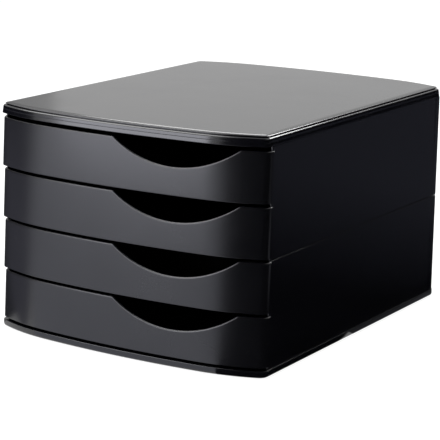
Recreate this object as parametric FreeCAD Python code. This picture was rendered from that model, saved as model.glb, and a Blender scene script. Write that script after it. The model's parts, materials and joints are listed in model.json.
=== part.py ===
import FreeCAD, Part
import math
import os

# Four-drawer desk cabinet of moulded plastic. Lid, base and drawer fronts share one bowed plan.
# Frame: +X to the right, -Y out of the drawer fronts, +Z up, origin under the middle of the plan.

# Plan of the cabinet
overall_width = 285.0
chord_depth = 330.0          # front corner to back corner, measured along a side
bow_depth = 20.0             # how far the front and the back swell past their corners
bow_end_radius = 175.0       # tighter arcs beside the corners
bow_turn = 5.4               # degrees turned by each half of the long middle arc
corner_radius = 9.0

# Heights
foot_drop = 0.7              # rubber standing below the base skirt
base_height = 6.0
base_gap = 2.4
front_height = 44.8
front_gap = 3.1
lid_gap = 3.7
lid_height = 10.0
drawer_count = 4
drawers_below_seam = 2

# Base and lid mouldings
base_inset = 0.0
base_edge_radius = 2.0
deck_thickness = 2.5
skirt_thickness = 3.4
rim_bottom_inset = 0.8
rim_lean = 1.0               # the lid's rim band stands out this much further at its foot
rim_height = 8.2
rim_edge_radius = 2.2
shadow_groove_depth = 1.4
shadow_groove_height = 1.0
cap_inset = 3.6
cap_edge_radius = 0.6
lid_wall = 2.4
rib_thickness = 1.6
rib_count = 4
rib_height = 3.0

# Casing walls
side_inset = 1.3
side_thickness = 2.4
back_inset = 2.0
back_thickness = 2.2
panel_recess = 0.4           # the side's field lies this far behind its border
panel_border = 32.0
panel_back_border = 8.0
wall_edge_radius = 0.8
lap_thickness = 2.0          # tongues that lap inside the moulding above
lap_length = 22.0
lap_rise = 4.0
lap_root = 2.2
lap_clearance = 0.2
side_lap_spacing = 110.0
back_lap_spacing = 140.0
back_flange_length = 10.0

# Drawer fronts
front_side_inset = 0.5
front_foot_inset = 0.8
front_lean_depth = 2.4       # the foot of each front stands out this much further than its top
front_wall = 2.4
front_end_depth = 7.4        # front corner of the plan to the front's flat back
front_end_radius = 9.0
front_edge_radius = 0.8
front_floor = 2.0
closing_gap = 0.4
scoop_centre = 56.5
scoop_half_width = 61.5
scoop_depth = 20.0
scoop_corner_radius = 3.0

# Drawer trays
tray_wall = 1.8
tray_floor = 2.0
tray_top_margin = 5.5        # top of the front to the tray's rim
tray_side_clearance = 0.8    # tray to the rails beside it
tray_back_clearance = 1.5    # tray to the back wall's flanges
tray_lip_height = 9.0        # upstand that the front hooks over
tray_corner_radius = 4.0
seat_clearance = 0.3
hook_width = 12.0
hook_thickness = 2.0
hook_drop = 3.0
hook_spacing = 100.0

# Runners: the tray's rim slides between the rails of the side walls
rim_thickness = 3.0
rim_end_clearance = 1.4
running_clearance = 0.3
lug_height = 2.2
lug_length = 10.0
tail_length = 80.0           # rim that stays in the runner when the stop lug meets its block
rail_reach = 4.5
lower_rail_thickness = 3.0
upper_rail_thickness = 2.2
upper_rail_clearance = 0.6
rail_setback = 8.4           # the rails start this far behind the wall's front edge
stop_block_length = 6.0
stop_gap = 0.3

# Middle shelf and feet
shelf_thickness = 2.2
shelf_end_margin = 4.0
foot_radius = 8.0
foot_thickness = 1.8
foot_edge_radius = 0.5
foot_stem_radius = 3.0
foot_stem_length = 2.0
foot_stem_clearance = 0.1
foot_boss_wall = 2.0
foot_inset_x = 24.0
foot_inset_y = 30.0

half_width = overall_width / 2
half_chord = chord_depth / 2
side_lap_places = (-side_lap_spacing, 0.0, side_lap_spacing)
overcut = 1.0
sliver = 0.01

# Places that follow from the sizes
base_bottom = foot_drop
base_top = base_bottom + base_height
first_front_z = base_top + base_gap
drawer_pitch = front_height + front_gap
lid_bottom = first_front_z + drawer_count * drawer_pitch - front_gap + lid_gap
lid_top = lid_bottom + lid_height
seam_z = first_front_z + drawers_below_seam * drawer_pitch - front_gap / 2
side_outer = half_width - side_inset
side_inner = side_outer - side_thickness
front_back_y = -half_chord + front_end_depth
side_front_y = front_back_y + closing_gap
wall_half_span = side_inner - lap_clearance
tray_rim_top = front_height - tray_top_margin
lower_rail_top = tray_rim_top - rim_thickness - running_clearance
upper_rail_bottom = tray_rim_top + lug_height + upper_rail_clearance
upper_rail_top = upper_rail_bottom + upper_rail_thickness
rail_inner = side_inner - rail_reach
rail_front_y = side_front_y + rail_setback
tray_half_width = rail_inner - tray_side_clearance
rim_outer = side_inner - rim_end_clearance


def point(x, y, z=0.0):
    return FreeCAD.Vector(x, y, z)


def box(x_range, y_range, z_range):
    corner = point(x_range[0], y_range[0], z_range[0])
    size = [pair[1] - pair[0] for pair in (x_range, y_range, z_range)]
    return Part.makeBox(*size, corner)


def mirrored(shape):
    return shape.mirror(point(0, 0), point(1, 0, 0))


def bow_centres():
    """Radius and centre of the middle arc, and centre of the right end arc, from the chord."""
    sine = math.sin(math.radians(bow_turn))
    versine = 1 - math.cos(math.radians(bow_turn))
    drop = bow_depth - bow_end_radius
    a = 2 * versine
    b = -2 * (half_width * sine + drop * versine)
    c = half_width ** 2 + drop ** 2 - bow_end_radius ** 2
    radius_step = (-b - math.sqrt(b * b - 4 * a * c)) / (2 * a)
    middle_radius = bow_end_radius + radius_step
    end_centre = (radius_step * sine, drop - radius_step * versine)
    return middle_radius, bow_depth - middle_radius, end_centre


middle_radius, middle_centre_y, end_centre = bow_centres()


def bow_rise(x, inset):
    """Height of the bow over the chord at x, for the curve that lies `inset` inside the plan."""
    hand_over = (middle_radius - inset) * math.sin(math.radians(bow_turn))
    if abs(x) <= hand_over:
        return middle_centre_y + math.sqrt((middle_radius - inset) ** 2 - x * x)
    return end_centre[1] + math.sqrt((bow_end_radius - inset) ** 2 - (abs(x) - end_centre[0]) ** 2)


back_corner_y = half_chord + bow_rise(wall_half_span, back_inset + back_thickness)
flange_front_y = back_corner_y - back_flange_length
tray_back_y = flange_front_y - tray_back_clearance
stop_lug_y = tray_back_y - tail_length
stop_face_y = rail_front_y + stop_block_length
drawer_travel = stop_lug_y - stop_face_y - stop_gap


def bow_edges(side, half_span, inset, z):
    """Three tangent arcs from left to right; side is -1 at the front and +1 at the back."""
    hand_over = (middle_radius - inset) * math.sin(math.radians(bow_turn))
    stations = [-half_span, -(half_span + hand_over) / 2, -hand_over, 0.0,
                hand_over, (half_span + hand_over) / 2, half_span]
    points = [point(x, side * (half_chord + bow_rise(x, inset)), z) for x in stations]
    return [Part.Arc(*points[i:i + 3]).toShape() for i in (0, 2, 4)]


def line(start, end):
    return Part.LineSegment(start, end).toShape()


def closed_wire(front_edges, back_edges):
    left = line(back_edges[0].Vertexes[0].Point, front_edges[0].Vertexes[0].Point)
    right = line(front_edges[-1].Vertexes[-1].Point, back_edges[-1].Vertexes[-1].Point)
    return Part.Wire(Part.__sortEdges__([left, right] + front_edges + back_edges))


def plan_wire(z, inset):
    """Whole plan, `inset` inside on every side."""
    half_span = half_width - inset
    return closed_wire(bow_edges(-1, half_span, inset, z), bow_edges(1, half_span, inset, z))


def front_wire(z, half_span, inset, back_y):
    """Bowed at the front, straight at the back."""
    back = line(point(-half_span, back_y, z), point(half_span, back_y, z))
    return closed_wire(bow_edges(-1, half_span, inset, z), [back])


def upright(wire, height):
    return Part.Face(wire).extrude(point(0, 0, height))


def vertical_edges(solid, x_min, y_side=0):
    """Near-vertical edges further out than x_min, on one end of the plan or on both."""
    found = []
    for edge in solid.Edges:
        run = edge.Vertexes[-1].Point - edge.Vertexes[0].Point
        middle = edge.CenterOfMass
        outside = abs(middle.x) > x_min and middle.y * y_side >= 0
        if outside and abs(run.z) > 4 * math.hypot(run.x, run.y):
            found.append(edge)
    return found


def rim_edges(solid, z):
    return [edge for edge in solid.Edges
            if abs(edge.BoundBox.ZMin - z) < sliver and abs(edge.BoundBox.ZMax - z) < sliver]


def plan_slab(z, height, foot_inset, top_inset, top_radius=0.0, foot_radius=0.0):
    """Slab of the whole plan with rounded corners and rounded top or foot edges."""
    if foot_inset == top_inset:
        slab = upright(plan_wire(z, foot_inset), height)
    else:
        slab = Part.makeLoft([plan_wire(z, foot_inset), plan_wire(z + height, top_inset)], True, True)
    slab = slab.makeFillet(corner_radius, vertical_edges(slab, half_width / 2))
    if top_radius:
        slab = slab.makeFillet(top_radius, rim_edges(slab, z + height))
    if foot_radius:
        slab = slab.makeFillet(foot_radius, rim_edges(slab, z))
    return slab


def hollow_slab(z, top, inset):
    """Space inside a skirt, with rounded corners."""
    hollow = upright(plan_wire(z, inset), top - z)
    return hollow.makeFillet(corner_radius / 2, vertical_edges(hollow, half_width / 2))


def rib_stations():
    step = 2 * side_inner / (rib_count + 1)
    return [-side_inner + step * (i + 1) for i in range(rib_count)]


def stiffening_ribs(z_range, inset):
    """Long ribs that run from skirt to skirt under a deck."""
    ribs = []
    for x in rib_stations():
        reach = half_chord + bow_rise(abs(x) + rib_thickness, inset)
        ribs.append(box((x - rib_thickness / 2, x + rib_thickness / 2), (-reach, reach), z_range))
    return ribs


def back_band(outer_inset, thickness, half_span, z_range):
    """Upright band that follows the back's bow, between two insets."""
    z, height = z_range[0], z_range[1] - z_range[0]
    outer = bow_edges(1, half_span, outer_inset, z)
    inner = bow_edges(1, half_span, outer_inset + thickness, z)
    return upright(closed_wire(inner, outer), height)


def side_laps(z):
    """Tongues on the right that lap inside the side wall or skirt above z."""
    inner = wall_half_span - lap_thickness
    tongues = []
    for y in side_lap_places:
        y_range = (y - lap_length / 2, y + lap_length / 2)
        tongues.append(box((inner, wall_half_span), y_range, (z, z + lap_rise)))
        tongues.append(box((inner, side_inner), y_range, (z - lap_root, z)))
    return tongues


def back_laps(z):
    """The same tongues on the back wall, which follow its bow."""
    inner = back_inset + back_thickness
    tongues = []
    for x in (-back_lap_spacing / 2, back_lap_spacing / 2):
        x_range = (x - lap_length / 2, x + lap_length / 2)
        window = box(x_range, (0, 2 * half_chord), (z - lap_root, z + lap_rise))
        above = back_band(inner + lap_clearance, lap_thickness, side_inner, (z, z + lap_rise))
        root = back_band(inner, lap_thickness + lap_clearance, side_inner, (z - lap_root, z))
        tongues += [above.common(window), root.common(window)]
    return tongues


def base():
    body = plan_slab(base_bottom, base_height, base_inset, base_inset, foot_radius=base_edge_radius)
    deck_bottom = base_top - deck_thickness
    body = body.cut(hollow_slab(base_bottom - overcut, deck_bottom, skirt_thickness))
    ribs = stiffening_ribs((deck_bottom - rib_height, deck_bottom), skirt_thickness / 2)
    boss_radius = foot_stem_radius + foot_stem_clearance + foot_boss_wall
    bosses = []
    stem_holes = []
    for x, y in foot_places():
        centre = point(x, y, foot_thickness)
        bosses.append(Part.makeCylinder(boss_radius, deck_bottom - foot_thickness, centre))
        hole_radius = foot_stem_radius + foot_stem_clearance
        stem_holes.append(Part.makeCylinder(hole_radius, foot_stem_length + foot_stem_clearance, centre))
    laps = side_laps(base_top)
    laps += [mirrored(lap) for lap in laps] + back_laps(base_top)
    body = body.fuse(ribs + bosses + laps).cut(stem_holes)
    return body.removeSplitter()


def lid():
    rim_top = lid_bottom + rim_height
    rim_top_inset = rim_bottom_inset + rim_lean
    groove_top = rim_top + shadow_groove_height
    groove_inset = cap_inset + shadow_groove_depth
    rim = plan_slab(lid_bottom, rim_height, rim_bottom_inset, rim_top_inset, top_radius=rim_edge_radius)
    neck = plan_slab(rim_top, shadow_groove_height, groove_inset, groove_inset)
    cap = plan_slab(groove_top, lid_top - groove_top, cap_inset, cap_inset, top_radius=cap_edge_radius)
    ledge_z = rim_top - lid_wall
    ceiling_z = lid_top - lid_wall
    skirt_hollow = hollow_slab(lid_bottom - overcut, ledge_z, skirt_thickness)
    cap_hollow = hollow_slab(ledge_z - overcut, ceiling_z, groove_inset + lid_wall)
    ribs = stiffening_ribs((ceiling_z - rib_height, ceiling_z), groove_inset + lid_wall / 2)
    return rim.fuse([neck, cap]).cut([skirt_hollow, cap_hollow]).fuse(ribs).removeSplitter()


def foot_places():
    x = half_width - foot_inset_x
    y = half_chord - foot_inset_y
    return [(sx * x, sy * y) for sy in (-1, 1) for sx in (-1, 1)]


def foot(x, y):
    pad = Part.makeCylinder(foot_radius, foot_thickness, point(x, y))
    pad = pad.makeFillet(foot_edge_radius, rim_edges(pad, 0.0))
    stem = Part.makeCylinder(foot_stem_radius, foot_stem_length, point(x, y, foot_thickness))
    return pad.fuse(stem).removeSplitter()


def front_places():
    return [first_front_z + i * drawer_pitch for i in range(drawer_count)]


def runner(front_z):
    """Lower and upper rail of one drawer on the right wall, with the stop block at their mouth."""
    x_range = (rail_inner, side_inner + side_thickness / 2)
    y_range = (rail_front_y, tray_back_y)
    z_lower = front_z + lower_rail_top
    z_upper = front_z + upper_rail_bottom
    lower = box(x_range, y_range, (z_lower - lower_rail_thickness, z_lower))
    upper = box(x_range, y_range, (z_upper, z_upper + upper_rail_thickness))
    z_stop = front_z + tray_rim_top + running_clearance
    stop = box(x_range, (rail_front_y, stop_face_y), (z_stop, z_upper))
    return [lower, upper, stop]


def side_wall(z_range):
    """Right wall of one storey, with the runners of its drawers and its tongues."""
    corner_y = half_chord + bow_rise(side_outer, back_inset)
    wall = box((side_inner, side_outer), (side_front_y, corner_y), z_range)
    wall = wall.makeFillet(wall_edge_radius, vertical_edges(wall, side_inner + side_thickness / 2))
    field = box((side_outer - panel_recess, side_outer + overcut),
                (side_front_y + panel_border, corner_y - panel_back_border),
                (z_range[0] - overcut, z_range[1] + overcut))
    runners = []
    for front_z in front_places():
        if z_range[0] < front_z + upper_rail_top / 2 < z_range[1]:
            runners += runner(front_z)
    return wall.cut(field).fuse(runners + side_laps(z_range[1])).removeSplitter()


def back_wall(z_range):
    """Bowed back of one storey, between the side walls, with flanges that lap them."""
    wall = back_band(back_inset, back_thickness, wall_half_span, z_range)
    flange = box((wall_half_span - lap_thickness, wall_half_span),
                 (flange_front_y, back_corner_y + back_thickness / 2), z_range)
    return wall.fuse([flange, mirrored(flange)] + back_laps(z_range[1])).removeSplitter()


def middle_shelf():
    """Dust shelf that rests on the rails under the seam and ties the side walls together."""
    z = first_front_z + (drawers_below_seam - 1) * drawer_pitch + upper_rail_top
    y_range = (side_front_y + shelf_end_margin, flange_front_y - shelf_end_margin)
    shelf = box((-wall_half_span, wall_half_span), y_range, (z, z + shelf_thickness))
    x_range = (wall_half_span - lap_thickness - lap_clearance, wall_half_span + overcut)
    reach = lap_length / 2 + lap_clearance
    notches = []
    for y in side_lap_places:
        notch = box(x_range, (y - reach, y + reach), (z - overcut, z + shelf_thickness + overcut))
        notches += [notch, mirrored(notch)]
    return shelf.cut(notches)


def front_inset_at(height):
    return front_foot_inset + front_lean_depth * height / front_height


def leaning_prism(front_z, heights, half_span, extra_inset, back_y):
    """Solid behind the leaning bow, between two heights over the foot of the front."""
    wires = [front_wire(front_z + h, half_span, front_inset_at(h) + extra_inset, back_y) for h in heights]
    return Part.makeLoft(wires, True, True)


def scoop_cutter(front_z):
    """Finger cut-out through the top edge: one arc with small rounded shoulders."""
    top = front_z + front_height
    arc_radius = (scoop_half_width ** 2 + scoop_depth ** 2) / (2 * scoop_depth)
    centre_z = top - scoop_depth + arc_radius
    shoulder_z = top - scoop_corner_radius
    reach = math.sqrt((arc_radius + scoop_corner_radius) ** 2 - (centre_z - shoulder_z) ** 2)
    share = arc_radius / (arc_radius + scoop_corner_radius)
    touch_x = reach * share
    touch_z = centre_z - (centre_z - shoulder_z) * share
    half_turn = (math.pi / 2 - math.atan2(centre_z - shoulder_z, reach)) / 2
    bulge_x = reach - scoop_corner_radius * math.sin(half_turn)
    bulge_z = shoulder_z + scoop_corner_radius * math.cos(half_turn)
    y = -2 * half_chord

    def at(x, z):
        return point(scoop_centre + x, y, z)

    bottom = Part.Arc(at(-touch_x, touch_z), at(0, top - scoop_depth), at(touch_x, touch_z)).toShape()
    right = Part.Arc(at(touch_x, touch_z), at(bulge_x, bulge_z), at(reach, top)).toShape()
    left = Part.Arc(at(-touch_x, touch_z), at(-bulge_x, bulge_z), at(-reach, top)).toShape()
    sky = top + overcut
    outline = [bottom, right, left, line(at(reach, top), at(reach, sky)),
               line(at(reach, sky), at(-reach, sky)), line(at(-reach, sky), at(-reach, top))]
    wire = Part.Wire(Part.__sortEdges__(outline))
    return Part.Face(wire).extrude(point(0, half_chord + front_end_depth, 0))


def front_hooks(front_z):
    """Tabs behind the front that reach over the tray's lip and drop behind it."""
    lip_outer = front_wall + seat_clearance
    lip_inner = lip_outer + tray_wall
    lip_top = front_floor + tray_floor + tray_lip_height
    tab_bottom = lip_top + lap_clearance
    tab_top = tab_bottom + hook_thickness
    span = tray_half_width - 2 * tray_wall
    outer = leaning_prism(front_z, (tab_bottom, tab_top), span, front_wall / 2, 0)
    inner = leaning_prism(front_z, (tab_bottom - overcut, tab_top + overcut), span + overcut,
                          lip_inner + lap_clearance + hook_thickness, overcut)
    bridge = outer.cut(inner)
    drop_outer = leaning_prism(front_z, (lip_top - hook_drop, tab_top), span, lip_inner + lap_clearance, 0)
    drop_inner = leaning_prism(front_z, (lip_top - hook_drop - overcut, tab_top + overcut), span + overcut,
                               lip_inner + lap_clearance + hook_thickness, overcut)
    drop = drop_outer.cut(drop_inner)
    strip = bridge.fuse(drop)
    hooks = []
    for x in (-hook_spacing, 0.0, hook_spacing):
        window = box((x - hook_width / 2, x + hook_width / 2), (-2 * half_chord, -half_chord / 2),
                     (front_z, front_z + front_height))
        hooks.append(strip.common(window))
    return hooks


def before_flat_back(edges):
    return [edge for edge in edges if edge.BoundBox.YMin < front_back_y - sliver]


def drawer_front(front_z):
    half_span = half_width - front_side_inset
    body = leaning_prism(front_z, (0.0, front_height), half_span, 0.0, front_back_y)
    body = body.makeFillet(front_end_radius, before_flat_back(vertical_edges(body, half_width / 2)))
    rims = rim_edges(body, front_z) + rim_edges(body, front_z + front_height)
    body = body.makeFillet(front_edge_radius, before_flat_back(rims))
    hollow = leaning_prism(front_z, (front_floor, front_height + overcut), half_span - front_wall,
                           front_wall, front_back_y + overcut)
    body = body.cut(hollow).cut(scoop_cutter(front_z))
    return body.fuse(front_hooks(front_z)).removeSplitter()


def tray_rim(front_z):
    """Rim of the right side, with the stop lug and the steadying lug at its tail."""
    x_range = (tray_half_width - tray_wall, rim_outer)
    z_top = front_z + tray_rim_top
    rim = box(x_range, (rail_front_y, tray_back_y), (z_top - rim_thickness, z_top))
    lugs = []
    for y in (stop_lug_y, tray_back_y - lug_length):
        lugs.append(box(x_range, (y, y + lug_length), (z_top, z_top + lug_height)))
    return [rim] + lugs


def drawer_tray(front_z):
    lip_inset = front_wall + seat_clearance
    body = leaning_prism(front_z, (front_floor, tray_rim_top), tray_half_width, lip_inset, tray_back_y)
    inner_half = tray_half_width - tray_wall
    floor_top = front_floor + tray_floor
    hollow = leaning_prism(front_z, (floor_top, tray_rim_top + overcut), inner_half,
                           lip_inset + tray_wall, tray_back_y - tray_wall)
    hollow = hollow.makeFillet(tray_corner_radius, vertical_edges(hollow, inner_half / 2, 1))
    above_lip = box((-inner_half, inner_half), (-2 * half_chord, rail_front_y),
                    (front_z + floor_top + tray_lip_height, front_z + tray_rim_top + overcut))
    rims = tray_rim(front_z)
    rims += [mirrored(piece) for piece in rims]
    return body.cut(hollow).cut(above_lip).fuse(rims).removeSplitter()


def write(name, shape):
    solids = shape.Solids
    assert len(solids) == 1 and shape.isValid(), name
    solids[0].exportStep("parts/" + name + ".step")
    print(name, round(shape.Volume), "mm3")


def main():
    os.makedirs("parts", exist_ok=True)
    write("base", base())
    write("lid", lid())
    storeys = {"lower": (base_top, seam_z), "upper": (seam_z, lid_bottom)}
    for storey, z_range in storeys.items():
        right = side_wall(z_range)
        write(storey + "_right_side", right)
        write(storey + "_left_side", mirrored(right))
        write(storey + "_back", back_wall(z_range))
    write("middle_shelf", middle_shelf())
    for number, front_z in enumerate(reversed(front_places()), 1):
        write("drawer_%d_front" % number, drawer_front(front_z))
        write("drawer_%d_tray" % number, drawer_tray(front_z))
    names = ("front_left_foot", "front_right_foot", "back_left_foot", "back_right_foot")
    for name, (x, y) in zip(names, foot_places()):
        write(name, foot(x, y))
    print("drawer travel", round(drawer_travel, 2), "mm; height", lid_top, "mm")


main()
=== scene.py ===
import json
import math

import bmesh
import bpy
from mathutils import Matrix, Vector

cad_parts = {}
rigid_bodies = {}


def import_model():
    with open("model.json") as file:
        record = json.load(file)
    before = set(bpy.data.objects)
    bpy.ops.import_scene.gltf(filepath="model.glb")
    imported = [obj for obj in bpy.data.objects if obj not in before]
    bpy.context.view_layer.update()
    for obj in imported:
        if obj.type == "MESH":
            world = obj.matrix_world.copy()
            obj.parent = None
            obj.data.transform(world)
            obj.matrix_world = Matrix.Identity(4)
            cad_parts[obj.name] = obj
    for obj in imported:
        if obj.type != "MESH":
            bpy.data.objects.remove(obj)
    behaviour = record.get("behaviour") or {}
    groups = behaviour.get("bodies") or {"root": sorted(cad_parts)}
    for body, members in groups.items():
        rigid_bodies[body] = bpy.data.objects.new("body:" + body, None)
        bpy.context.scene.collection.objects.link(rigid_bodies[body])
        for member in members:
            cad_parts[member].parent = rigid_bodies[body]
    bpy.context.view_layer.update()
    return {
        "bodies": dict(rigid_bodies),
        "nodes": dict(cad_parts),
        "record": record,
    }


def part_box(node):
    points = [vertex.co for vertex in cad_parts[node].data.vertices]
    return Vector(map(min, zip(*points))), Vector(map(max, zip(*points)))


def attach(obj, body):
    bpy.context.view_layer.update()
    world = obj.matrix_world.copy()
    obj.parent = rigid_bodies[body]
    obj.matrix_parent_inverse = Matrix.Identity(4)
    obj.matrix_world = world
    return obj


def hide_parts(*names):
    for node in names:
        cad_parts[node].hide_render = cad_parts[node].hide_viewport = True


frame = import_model()
scene = bpy.context.scene
mm = 0.001


def linearColour(hexText):  # sRGB hex to the linear numbers that the shaders take
    parts = [int(hexText[i:i + 2], 16) / 255 for i in (1, 3, 5)]
    return [p / 12.92 if p <= 0.04045 else ((p + 0.055) / 1.055) ** 2.4 for p in parts] + [1.0]


def addNode(tree, kind, inputs=None, **settings):  # one node, with its settings and its links
    node = tree.nodes.new(kind)
    for name, value in settings.items():
        setattr(node, name, value)
    for key, value in (inputs or {}).items():
        if isinstance(value, bpy.types.NodeSocket):
            tree.links.new(value, node.inputs[key])
        else:
            node.inputs[key].default_value = value
    return node


# Moulded polystyrene, coloured black: a hard plastic from a polished or spark-eroded steel mould.
# To the eye: near black, a soft gloss that drifts with the flow of the melt, and a very fine grain.
satinFinish = {
    "name": "mouldedPolystyreneSatin",
    "dark": "#060609",
    "light": "#0a0a0e",
    "roughness": (0.23, 0.28),
    "grain": 1.1,            # mm, drawn coarser than the real 0.3 mm so that it shows
    "grainHeight": 0.003,    # mm
    "cloud": 70.0,           # mm, flow clouds of the melt
    "markWidth": 0.8,        # mm, hairlines from handling
    "markGloss": 0.012,
}
# The same plastic from a polished mould: sharper reflections and almost no grain, on casing and lid
glossFinish = dict(satinFinish, name="mouldedPolystyreneGloss", roughness=(0.13, 0.18), grainHeight=0.0010)
# The same plastic from a plain machined mould: duller and a little lighter, on the trays
trayFinish = dict(satinFinish, name="mouldedPolystyreneTray", dark="#0e0f13", light="#141519",
                  roughness=(0.38, 0.48), grain=1.4, grainHeight=0.006)


def polystyrene(s):
    material = bpy.data.materials.new(s["name"])
    material.use_nodes = True
    tree = material.node_tree
    tree.nodes.clear()
    place = addNode(tree, "ShaderNodeTexCoord").outputs["Object"]
    cloud = addNode(tree, "ShaderNodeTexNoise",
                    {"Vector": place, "Scale": 1 / (s["cloud"] * mm), "Detail": 3.0, "Roughness": 0.5})
    grain = addNode(tree, "ShaderNodeTexNoise",
                    {"Vector": place, "Scale": 1 / (s["grain"] * mm), "Detail": 2.0, "Roughness": 0.6})
    stretch = addNode(tree, "ShaderNodeMapping",
                      {"Vector": place, "Rotation": (0.3, 0.2, 0.5), "Scale": (1.0, 0.05, 0.8)})
    hairline = addNode(tree, "ShaderNodeTexNoise",
                       {"Vector": stretch.outputs[0], "Scale": 1 / (s["markWidth"] * mm), "Detail": 1.0})
    marks = addNode(tree, "ShaderNodeMapRange",
                    {"Value": hairline.outputs["Fac"], "From Min": 0.6, "From Max": 0.8,
                     "To Max": s["markGloss"]})
    colour = addNode(tree, "ShaderNodeMix", {0: cloud.outputs["Fac"], 6: linearColour(s["dark"]),
                                             7: linearColour(s["light"])}, data_type="RGBA")
    low, high = s["roughness"]
    base = addNode(tree, "ShaderNodeMapRange",
                   {"Value": cloud.outputs["Fac"], "From Min": 0.3, "From Max": 0.7,
                    "To Min": low, "To Max": high})
    rough = addNode(tree, "ShaderNodeMath", {0: marks.outputs[0], 1: base.outputs[0]}, operation="ADD")
    bump = addNode(tree, "ShaderNodeBump",
                   {"Height": grain.outputs["Fac"], "Strength": 1.0, "Distance": s["grainHeight"] * mm})
    shader = addNode(tree, "ShaderNodeBsdfPrincipled",
                     {"Base Color": colour.outputs[2], "Roughness": rough.outputs[0],
                      "Normal": bump.outputs[0], "IOR": 1.55})
    addNode(tree, "ShaderNodeOutputMaterial", {"Surface": shader.outputs[0]})
    return material


# Moulded rubber of the feet: matt, dark grey, with dust in its pores.
def mouldedRubber(s):
    material = bpy.data.materials.new(s["name"])
    material.use_nodes = True
    tree = material.node_tree
    tree.nodes.clear()
    place = addNode(tree, "ShaderNodeTexCoord").outputs["Object"]
    pores = addNode(tree, "ShaderNodeTexNoise",
                    {"Vector": place, "Scale": 1 / (s["pore"] * mm), "Detail": 4.0, "Roughness": 0.7})
    colour = addNode(tree, "ShaderNodeMix", {0: pores.outputs["Fac"], 6: linearColour(s["dark"]),
                                             7: linearColour(s["light"])}, data_type="RGBA")
    bump = addNode(tree, "ShaderNodeBump",
                   {"Height": pores.outputs["Fac"], "Strength": 1.0, "Distance": s["poreDepth"] * mm})
    shader = addNode(tree, "ShaderNodeBsdfPrincipled",
                     {"Base Color": colour.outputs[2], "Roughness": s["roughness"],
                      "Normal": bump.outputs[0], "IOR": 1.52})
    addNode(tree, "ShaderNodeOutputMaterial", {"Surface": shader.outputs[0]})
    return material


satin = polystyrene(satinFinish)
gloss = polystyrene(glossFinish)
trayPlastic = polystyrene(trayFinish)
footRubber = mouldedRubber({"name": "mouldedRubber", "dark": "#1b1b1b", "light": "#2c2b29",
                            "roughness": 0.8, "pore": 0.9, "poreDepth": 0.03})  # pores in mm
print("stage: materials ready")

# Heights, front edge and drawer places, read from the frame
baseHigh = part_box("base")[1]
lidLow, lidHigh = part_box("lid")
wallLow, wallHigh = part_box("lower_right_side")
deckTop = wallLow.z  # the base's own box also holds its tongues
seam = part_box("upper_right_side")[0].z
drawerBodies = sorted(body for body in frame["bodies"] if body.startswith("drawer_"))
frontFeet = {body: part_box(body + "_front")[0].z for body in drawerBodies}
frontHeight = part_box("drawer_1_front")[1].z - frontFeet["drawer_1"]
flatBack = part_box("drawer_1_front")[1].y
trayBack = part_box("drawer_1_tray")[1].y
drawerPitch = frontFeet["drawer_1"] - frontFeet["drawer_2"]

# Plan of the cabinet: a long middle arc and two tighter end arcs, at the front and at the back
plan = {
    "bow": 20.0 * mm,
    "endRadius": 175.0 * mm,
    "turn": math.radians(5.4),
    "cornerRadius": 9.0 * mm,
    "leastRadius": 1.0 * mm,   # of the corners of the innermost rings
    "middleSteps": 10,
    "endSteps": 14,
    "cornerSteps": 8,
}
halfWidth = baseHigh.x
halfChord = baseHigh.y - plan["bow"]


def bowCentres(p):  # radius and centre of the middle arc, and centre of the right end arc
    sine, versine = math.sin(p["turn"]), 1 - math.cos(p["turn"])
    drop = p["bow"] - p["endRadius"]
    a = 2 * versine
    b = -2 * (halfWidth * sine + drop * versine)
    c = halfWidth ** 2 + drop ** 2 - p["endRadius"] ** 2
    step = (-b - math.sqrt(b * b - 4 * a * c)) / (2 * a)
    return p["endRadius"] + step, p["bow"] - p["endRadius"] - step, step * sine, drop - step * versine


middleRadius, middleCentre, endX, endY = bowCentres(plan)


def bowRise(x, inset):  # height of the bow over the chord, for the curve that lies `inset` inside the plan
    if abs(x) <= (middleRadius - inset) * math.sin(plan["turn"]):
        return middleCentre + math.sqrt((middleRadius - inset) ** 2 - x * x)
    return endY + math.sqrt((plan["endRadius"] - inset) ** 2 - (abs(x) - endX) ** 2)


def turnAt(x, inset):  # how far the bow has turned at x
    if abs(x) <= (middleRadius - inset) * math.sin(plan["turn"]):
        return math.asin(x / (middleRadius - inset))
    return math.copysign(math.asin((abs(x) - endX) / (plan["endRadius"] - inset)), x)


def steps(low, high, count):
    return [low + (high - low) * i / count for i in range(count + 1)]


def arcPoints(centre, radius, start, end, count):  # from degree `start` to `end`, anticlockwise from +X
    turns = [math.radians(t) for t in steps(start, end, count)]
    return [(centre[0] + radius * math.cos(t), centre[1] + radius * math.sin(t)) for t in turns]


def planRing(inset, z):  # closed ring, anticlockwise from above, starting at the front's middle
    radius = max(plan["cornerRadius"] - inset, plan["leastRadius"])
    cx = halfWidth - inset - radius
    reach = plan["endRadius"] - inset - radius
    cy = endY + math.sqrt(reach ** 2 - (cx - endX) ** 2)
    contact = math.atan2(cx - endX, cy - endY)
    arcs = [
        (0.0, middleCentre, middleRadius - inset, steps(0.0, plan["turn"], plan["middleSteps"])),
        (endX, endY, plan["endRadius"] - inset, steps(plan["turn"], contact, plan["endSteps"])[1:]),
        (cx, cy, radius, steps(contact, math.pi / 2, plan["cornerSteps"])[1:]),
    ]
    quarter = [(x + r * math.sin(t), y + r * math.cos(t)) for x, y, r, turns in arcs for t in turns]
    quarter.append((halfWidth - inset, -halfChord))
    right = [(x, -halfChord - y) for x, y in quarter] + [(x, halfChord + y) for x, y in quarter[-2::-1]]
    left = [(-x, y) for x, y in right[-2:0:-1]]
    return [(x, y, z) for x, y in right + left]


def addShell(bm, rings):  # rings joined by quads, closed by a face at each end
    rows = [[bm.verts.new(place) for place in ring] for ring in rings]
    for low, high in zip(rows, rows[1:]):
        for i in range(len(low)):
            j = (i + 1) % len(low)
            bm.faces.new((low[i], low[j], high[j], high[i]))
    bm.faces.new(rows[0])
    bm.faces.new(rows[-1])


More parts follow.
